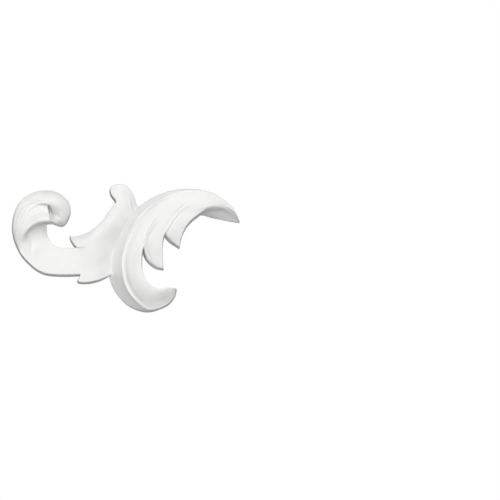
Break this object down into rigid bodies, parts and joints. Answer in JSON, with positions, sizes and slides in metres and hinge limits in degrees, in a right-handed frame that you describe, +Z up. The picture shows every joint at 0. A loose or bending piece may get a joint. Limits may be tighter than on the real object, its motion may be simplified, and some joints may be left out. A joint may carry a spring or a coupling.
{
  "type": "moulding end ornament",
  "caption": "Scroll end ornament for a panel moulding: volute on a stem, middle leaf with an upright thumb, and a C-scroll with a raised bead and hanging fingers, on a flat back.",
  "frame": {"origin": "on the flat back face, about the middle of the ornament's length and height, where the middle leaf meets the C-scroll", "axes": "+X along the length, from the volute to the C-scroll's tip; +Y out of the flat back, into the wall; +Z up; the carved face looks along -Y"},
  "size_m": [0.182, 0.0216, 0.1023],
  "materials": {
    "primed_white": "factory primed, satin-matte white"
  },
  "bodies": {
    "root": {"scroll_ornament": "primed_white"}
  },
  "joints": []
}
